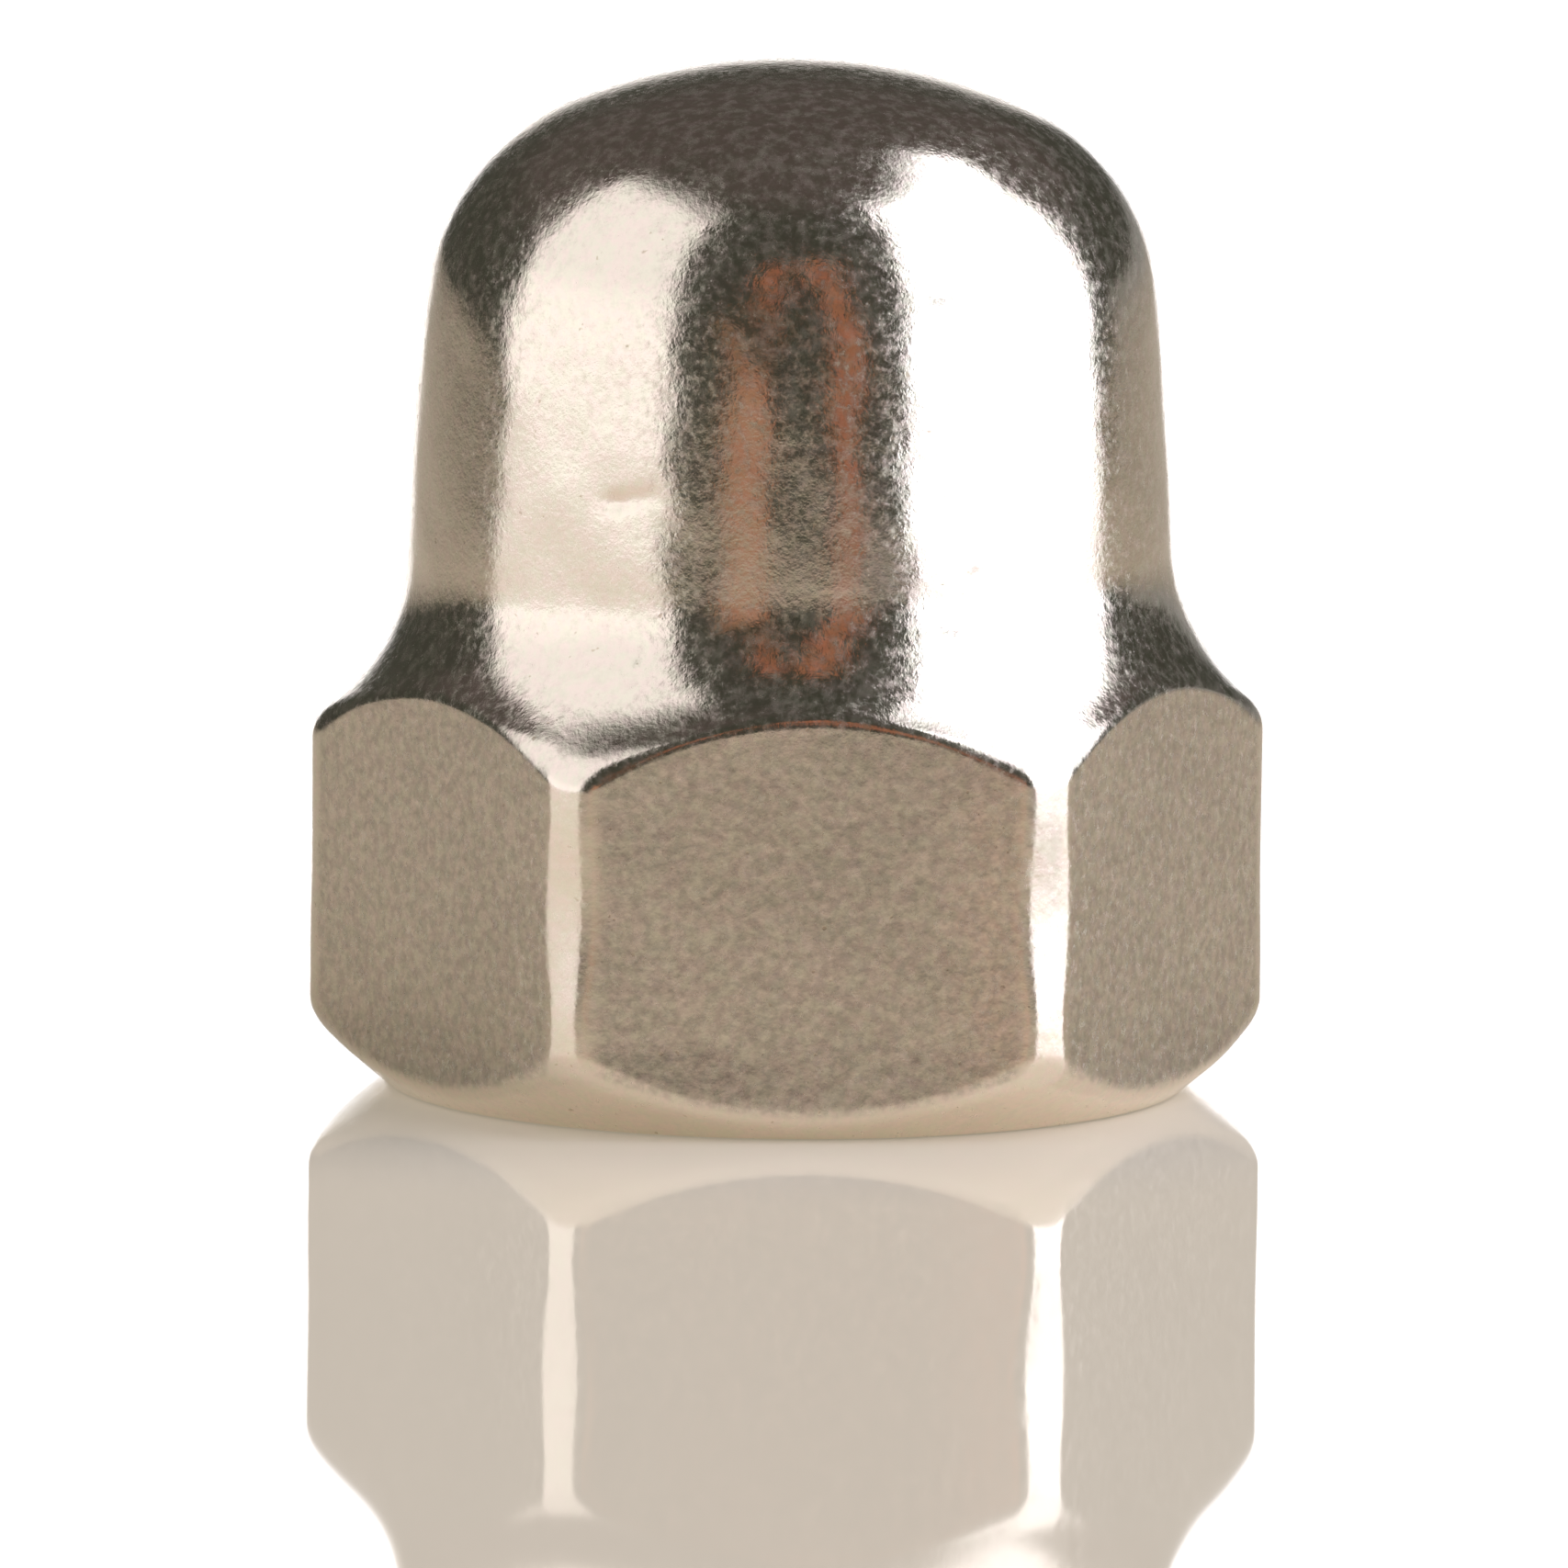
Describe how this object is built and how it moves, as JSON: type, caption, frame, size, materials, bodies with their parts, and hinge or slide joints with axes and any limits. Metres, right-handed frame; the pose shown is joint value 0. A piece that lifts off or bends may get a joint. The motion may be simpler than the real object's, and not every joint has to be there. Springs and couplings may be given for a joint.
{
  "type": "cap nut",
  "caption": "Hexagonal cap nut with a closed domed crown over a blind tapped hole; it covers and holds the end of a threaded rod.",
  "frame": {"origin": "centre of the flat bearing face, on the thread's axis", "axes": "+Z along the thread's axis from the bearing face to the crown; X runs through two upright corners; Y runs through the middle of two flats"},
  "size_m": [0.0114, 0.01, 0.0121],
  "materials": {
    "plated_steel": "bright nickel plate over cold-forged steel, with a fine orange-peel grain"
  },
  "bodies": {
    "root": {"cap_nut": "plated_steel"}
  },
  "joints": []
}
